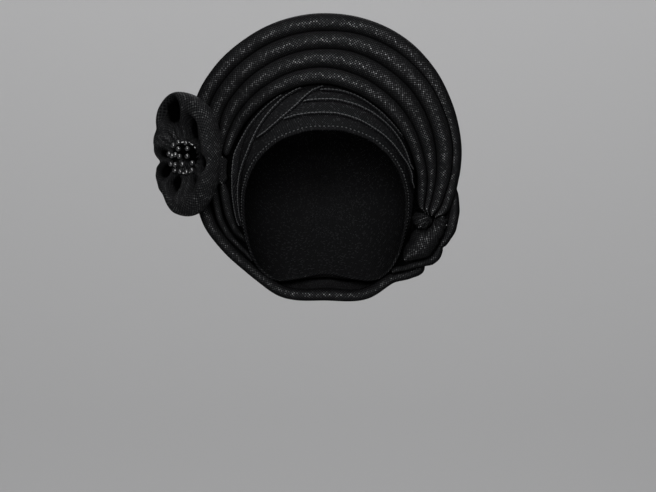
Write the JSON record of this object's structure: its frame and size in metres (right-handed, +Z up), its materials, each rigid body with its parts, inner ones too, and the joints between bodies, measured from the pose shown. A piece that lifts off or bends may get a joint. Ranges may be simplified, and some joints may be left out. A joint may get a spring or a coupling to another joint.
{
  "type": "tied gele head tie",
  "caption": "Ready-tied black gele head wrap: padded rolls arching over a pleated forehead band, with a side knot and a beaded cloth rosette.",
  "frame": {"origin": "middle of the hollow for the head, level with the ears", "axes": "+Z up towards the crown, -Y towards the front, +X towards the side with the knot"},
  "size_m": [0.2569, 0.194, 0.2398],
  "materials": {
    "woven_cloth": "near-black diamond weave with fine glints",
    "band_cloth": "near-black fine twill, matt",
    "beads": "gloss black"
  },
  "bodies": {
    "root": {"base_cap": "band_cloth", "pleat_right_1": "band_cloth", "pleat_right_2": "band_cloth", "pleat_right_3": "band_cloth", "pleat_left_1": "band_cloth", "pleat_left_2": "band_cloth", "pleat_left_3": "band_cloth", "roll_1": "woven_cloth", "roll_2": "woven_cloth", "roll_3": "woven_cloth", "halo_roll": "woven_cloth", "nape_fold_1": "woven_cloth", "nape_fold_2": "woven_cloth", "loop_lower": "woven_cloth", "loop_outer": "woven_cloth", "left_gather": "woven_cloth", "knot": "woven_cloth", "puff": "woven_cloth", "back_drape": "woven_cloth", "rosette": "woven_cloth", "rosette_heart": "woven_cloth", "bead_01": "beads", "bead_02": "beads", "bead_03": "beads", "bead_04": "beads", "bead_05": "beads", "bead_06": "beads", "bead_07": "beads", "bead_08": "beads", "bead_09": "beads", "bead_10": "beads", "bead_11": "beads", "bead_12": "beads", "bead_13": "beads", "bead_14": "beads", "bead_15": "beads", "bead_16": "beads", "bead_17": "beads", "bead_18": "beads"}
  },
  "joints": []
}
